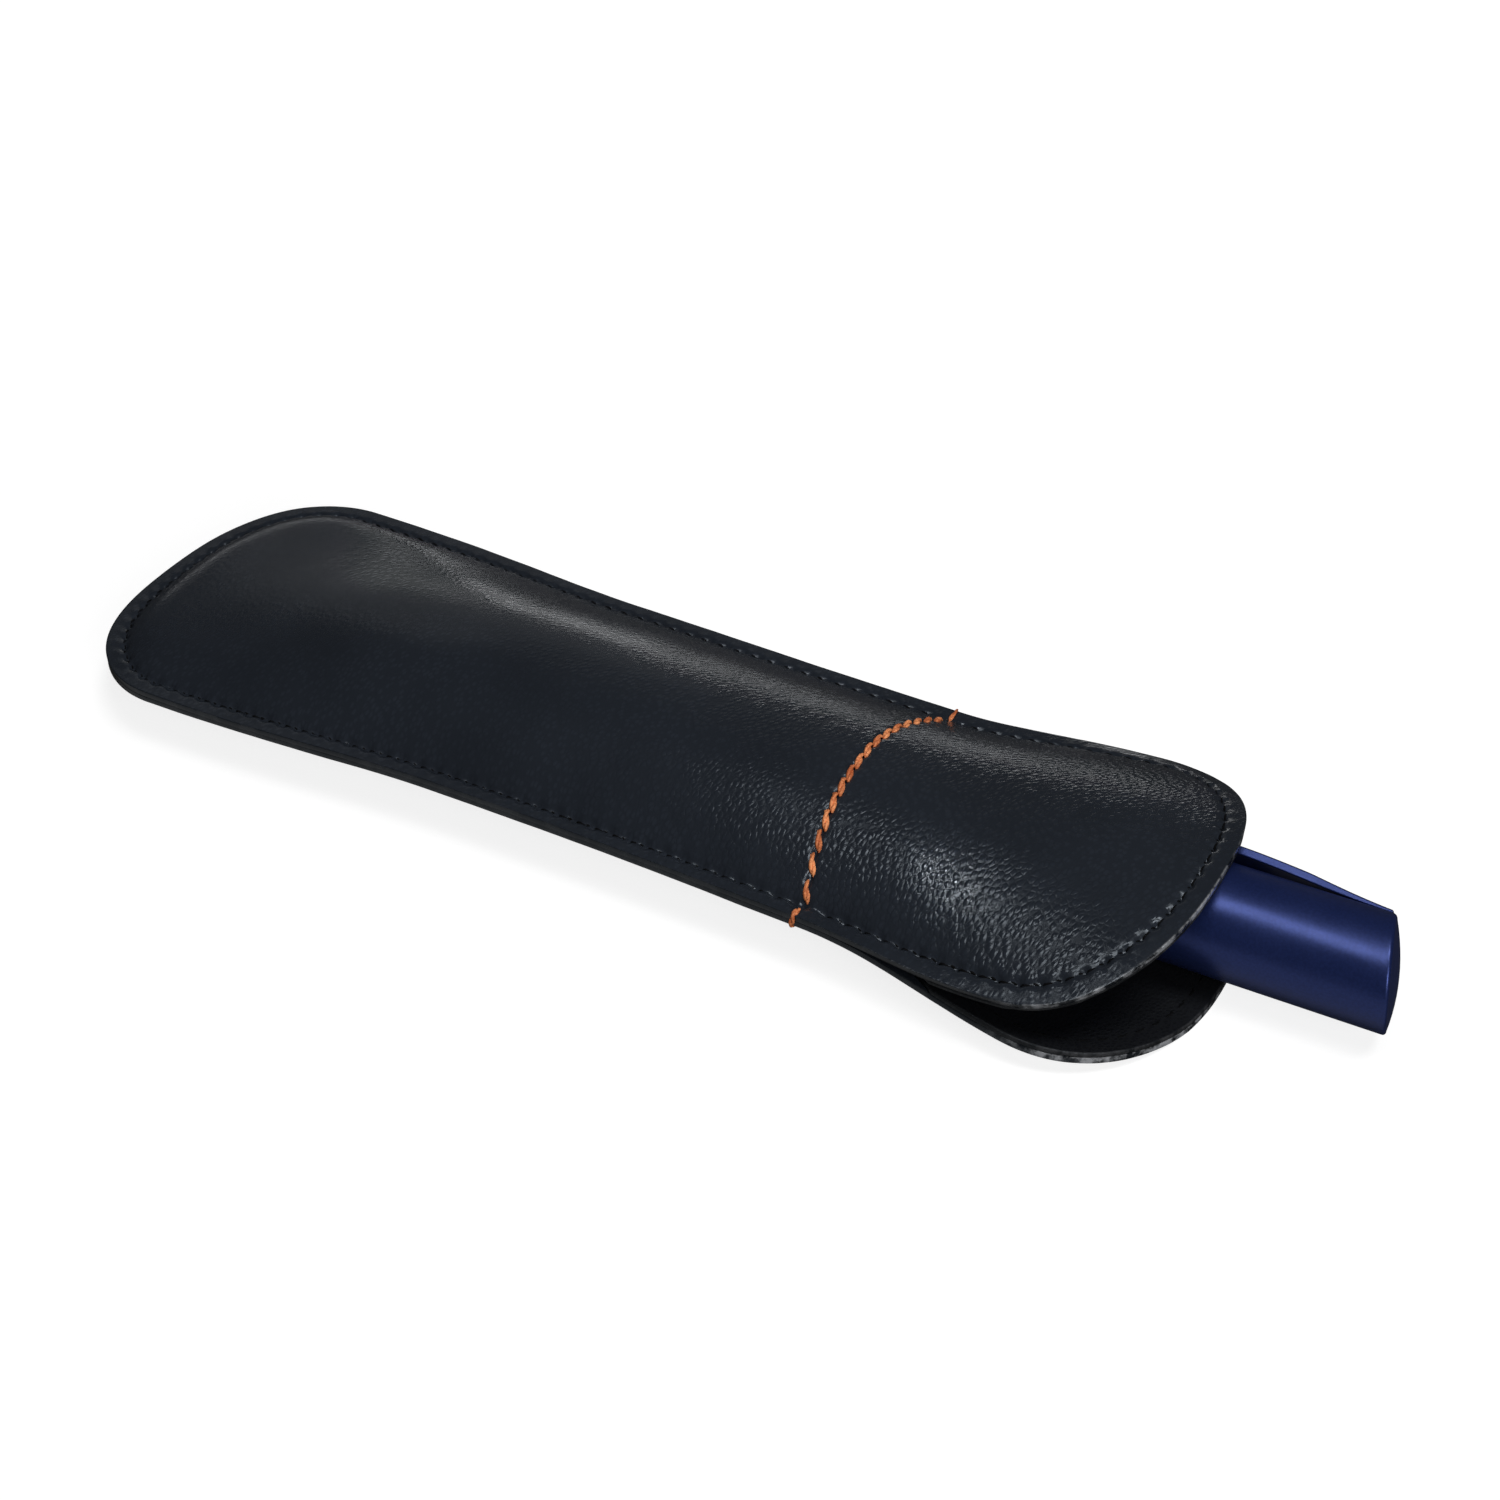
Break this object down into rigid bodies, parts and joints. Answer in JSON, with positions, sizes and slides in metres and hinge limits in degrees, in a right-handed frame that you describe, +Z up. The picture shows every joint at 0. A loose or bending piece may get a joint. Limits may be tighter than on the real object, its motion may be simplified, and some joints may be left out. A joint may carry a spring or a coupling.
{
  "type": "insulin pen case",
  "caption": "Slim black leather slip case for an insulin pen, stitched round a closed end, with a contrast seam at the mouth, two open tongues and a capped pen inside.",
  "frame": {"origin": "centre of the case's flat underside, where it lies on the table, half way along the full-height part of the body", "axes": "+X along the case out of its mouth, +Y across the case to the side where the pen's clip lies, +Z up from the table"},
  "size_m": [0.2092, 0.06, 0.0213],
  "materials": {
    "black_leather": "fine pebbled grain, soft sheen",
    "facing_leather": "fine grain, matt",
    "black_thread": "waxed thread",
    "orange_thread": "waxed thread",
    "navy_metal": "satin anodised",
    "dark_plastic": "satin",
    "clear_plastic": "clear",
    "white_plastic": "satin",
    "grey_plastic": "satin",
    "cartridge_glass": "clear",
    "crimp_aluminium": "satin",
    "rubber": "matt"
  },
  "bodies": {
    "pouch": {"front_panel": "black_leather", "back_panel": "black_leather", "front_facing": "facing_leather", "back_facing": "facing_leather", "closing_thread_front": "black_thread", "closing_thread_back": "black_thread", "front_tongue_thread": "black_thread", "back_tongue_thread": "black_thread", "cross_stitch": "orange_thread", "near_edge_tack": "orange_thread", "far_edge_tack": "orange_thread"},
    "pen_body": {"pen_barrel": "navy_metal", "dose_lens": "clear_plastic", "drive_nut": "white_plastic", "cartridge_holder": "clear_plastic", "insulin_cartridge": "cartridge_glass", "crimp_cap": "crimp_aluminium", "septum": "rubber"},
    "pen_cap": {"pen_cap": "navy_metal", "cap_clip": "navy_metal"},
    "dose_selector": {"dose_selector": "dark_plastic", "number_drum": "white_plastic"},
    "injection_button": {"injection_button": "grey_plastic"},
    "piston": {"piston_rod": "white_plastic", "cartridge_stopper": "rubber"}
  },
  "joints": [
    {"name": "pen_slide", "type": "slide", "parent": "pouch", "child": "pen_body", "axis": [0.9998, 0.0209, 0], "range_m": [0, 0.15]},
    {"name": "cap_pull", "type": "slide", "parent": "pen_body", "child": "pen_cap", "axis": [0.9998, 0.0209, 0], "range_m": [0, 0.075]},
    {"name": "dose_dial", "type": "hinge", "parent": "pen_body", "child": "dose_selector", "pos_m": [-0.05545, -0.00203, 0.01054], "axis": [0.9998, 0.0209, 0], "range_deg": [0, 900]},
    {"name": "button_press", "type": "slide", "parent": "dose_selector", "child": "injection_button", "axis": [0.9998, 0.0209, 0], "range_m": [0, 0.002], "stiffness_N_per_m": 600, "springref_m": -0.001},
    {"name": "piston_feed", "type": "slide", "parent": "pen_body", "child": "piston", "axis": [0.9998, 0.0209, 0], "range_m": [0, 0.038]}
  ]
}
